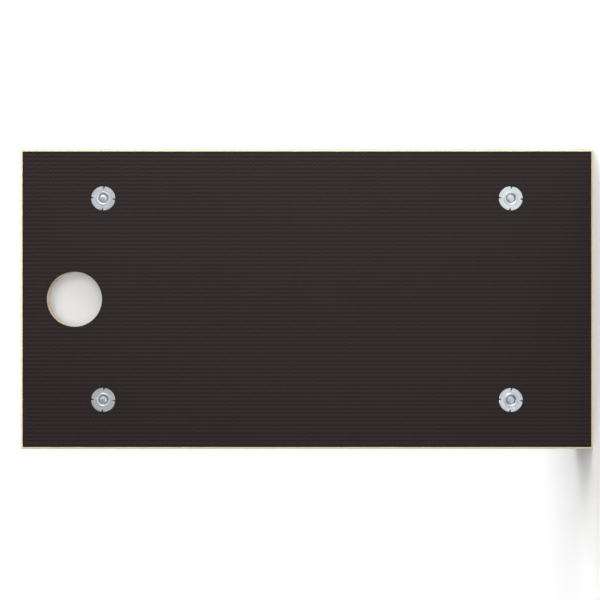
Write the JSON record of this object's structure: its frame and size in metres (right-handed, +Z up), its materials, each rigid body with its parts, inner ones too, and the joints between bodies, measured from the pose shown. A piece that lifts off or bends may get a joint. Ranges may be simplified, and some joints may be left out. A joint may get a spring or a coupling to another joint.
{
  "type": "wall punch pad",
  "caption": "Wall punch pad: a filmed plywood board that hangs on a wall peg, with a padded cushion that slides on bolts against rubber buffers.",
  "frame": {"origin": "centre of the hanging hole, on the board's wall face", "axes": "+Y to the wall, so the striking face looks along -Y; +Z up, along the board's height; X across the board"},
  "size_m": [0.272, 0.1239, 0.52],
  "materials": {
    "birch_ply": "matte",
    "mesh_film": "satin",
    "smooth_film": "satin",
    "zinc_steel": "satin",
    "buffer_rubber": "matte",
    "nylon": "satin",
    "grey_film": "satin",
    "hook_tape": "matte",
    "loop_tape": "matte",
    "cover_leather": "satin",
    "piping_leather": "satin",
    "backing_cloth": "matte",
    "firm_foam": "matte",
    "soft_foam": "matte"
  },
  "bodies": {
    "wall_board": {"board_core": "birch_ply", "mesh_film": "mesh_film", "smooth_film": "smooth_film", "tee_nut_1": "zinc_steel", "tee_nut_2": "zinc_steel", "tee_nut_3": "zinc_steel", "tee_nut_4": "zinc_steel", "bolt_1": "zinc_steel", "bolt_2": "zinc_steel", "bolt_3": "zinc_steel", "bolt_4": "zinc_steel", "buffer_wall_disc_1": "zinc_steel", "buffer_wall_disc_2": "zinc_steel", "buffer_wall_disc_3": "zinc_steel", "buffer_wall_disc_4": "zinc_steel", "buffer_rubber_1": "buffer_rubber", "buffer_rubber_2": "buffer_rubber", "buffer_rubber_3": "buffer_rubber", "buffer_rubber_4": "buffer_rubber"},
    "striking_pad": {"carrier_core": "birch_ply", "buffer_pad_disc_1": "zinc_steel", "buffer_pad_disc_2": "zinc_steel", "buffer_pad_disc_3": "zinc_steel", "buffer_pad_disc_4": "zinc_steel", "head_washers": "zinc_steel", "guide_bush_1": "nylon", "guide_bush_2": "nylon", "guide_bush_3": "nylon", "guide_bush_4": "nylon", "carrier_back_film": "grey_film", "carrier_front_film": "grey_film", "hook_tape_1": "hook_tape", "hook_tape_2": "hook_tape", "hook_tape_3": "hook_tape", "loop_tape_1": "loop_tape", "loop_tape_2": "loop_tape", "loop_tape_3": "loop_tape", "cover_band": "cover_leather", "cover_front": "cover_leather", "piping_rear": "piping_leather", "piping_front": "piping_leather", "cover_rear": "backing_cloth", "base_foam": "firm_foam", "face_foam": "soft_foam"}
  },
  "joints": [
    {"name": "pad_slide", "type": "slide", "parent": "wall_board", "child": "striking_pad", "axis": [0, 1, 0], "range_m": [0, 0.007], "stiffness_N_per_m": 240000, "deforming": ["buffer_rubber_1", "buffer_rubber_2", "buffer_rubber_3", "buffer_rubber_4"]}
  ]
}
